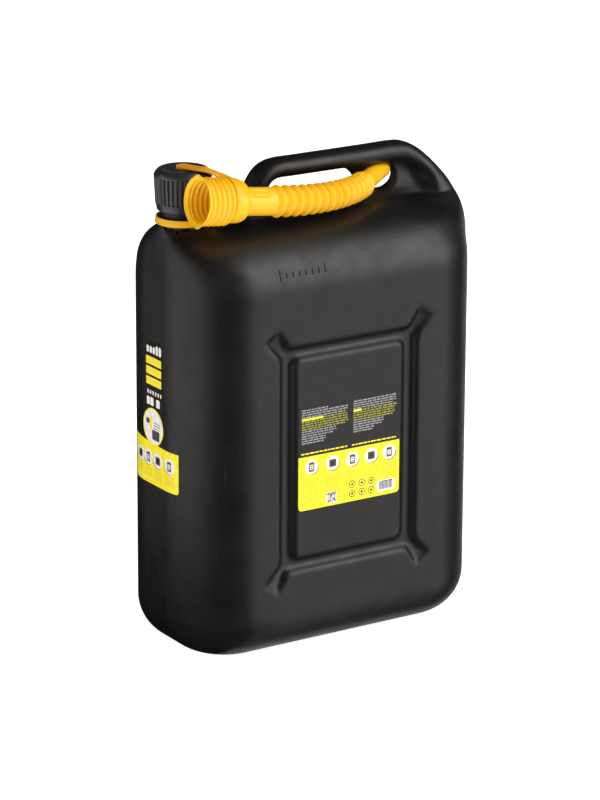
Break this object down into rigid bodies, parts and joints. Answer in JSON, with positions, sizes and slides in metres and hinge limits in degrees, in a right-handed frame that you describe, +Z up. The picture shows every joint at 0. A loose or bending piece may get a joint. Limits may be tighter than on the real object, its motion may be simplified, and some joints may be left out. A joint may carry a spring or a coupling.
{
  "type": "jerry can",
  "caption": "Blow-moulded fuel jerry can with a carrying handle, a tethered screw cap and a flexible pouring spout stowed in the handle's eyelet.",
  "frame": {"origin": "centre of the base, on the ground", "axes": "+X along the long side from the filler neck towards the eyelet, +Y towards the back, +Z up"},
  "size_m": [0.3682, 0.1842, 0.5333],
  "materials": {
    "tank_black": "satin black polyethylene with a fine moulded grain",
    "neck_black": "satin black polyethylene",
    "cap_black": "matt black polypropylene with moulded flutes",
    "gasket_rubber": "soft black sealing rubber",
    "strap_yellow": "semi-gloss deep yellow polyethylene",
    "spout_yellow": "semi-gloss, slightly translucent yellow polyethylene",
    "label_film": "printed film, yellow and black, with a thin gloss"
  },
  "bodies": {
    "root": {"tank": "tank_black", "filler_neck": "neck_black", "label_front": "label_film", "label_end": "label_film"},
    "tether": {"tether_loops": "spout_yellow", "tether_strap": "strap_yellow", "spout_socket": "spout_yellow", "spout_bellows_rear": "spout_yellow"},
    "stud": {"tether_stud": "strap_yellow"},
    "seal": {"cap_gasket": "gasket_rubber"},
    "cap": {"screw_cap": "cap_black"},
    "spout_mid": {"spout_bellows_middle": "spout_yellow", "spout_bellows_front": "spout_yellow"},
    "spout_tip": {"spout_nozzle": "spout_yellow"}
  },
  "joints": [
    {"name": "tether_swivel", "type": "hinge", "parent": "root", "child": "tether", "pos_m": [-0.149, 0, 0.4745], "axis": [0, 0, -1], "range_deg": [0, 210]},
    {"name": "cap_rise", "type": "slide", "parent": "tether", "child": "stud", "axis": [0, 0, 1], "range_m": [0, 0.048], "deforming": ["tether_strap"]},
    {"name": "stud_turn", "type": "hinge", "parent": "stud", "child": "seal", "pos_m": [-0.149, 0, 0.5275], "axis": [0, 0, -1], "range_deg": [-210, 0]},
    {"name": "cap_unscrew", "type": "hinge", "parent": "seal", "child": "cap", "pos_m": [-0.149, 0, 0.5275], "axis": [0, 0, 1], "range_deg": [0, 2881]},
    {"name": "spout_bend", "type": "hinge", "parent": "tether", "child": "spout_mid", "pos_m": [-0.0389, -0.0567, 0.4905], "axis": [0, 0, -1], "range_deg": [0, 45], "deforming": ["spout_bellows_rear"]},
    {"name": "spout_bend_tip", "type": "hinge", "parent": "spout_mid", "child": "spout_tip", "pos_m": [0.038, -0.0458, 0.4838], "axis": [0, 0, -1], "range_deg": [0, 45], "deforming": ["spout_bellows_front"]}
  ],
  "couplings": [
    {"joint": "cap_unscrew", "follows": "cap_rise", "rad_per_m": 1047.2},
    {"joint": "stud_turn", "follows": "tether_swivel", "ratio": -1},
    {"joint": "spout_bend_tip", "follows": "spout_bend", "ratio": 1}
  ]
}
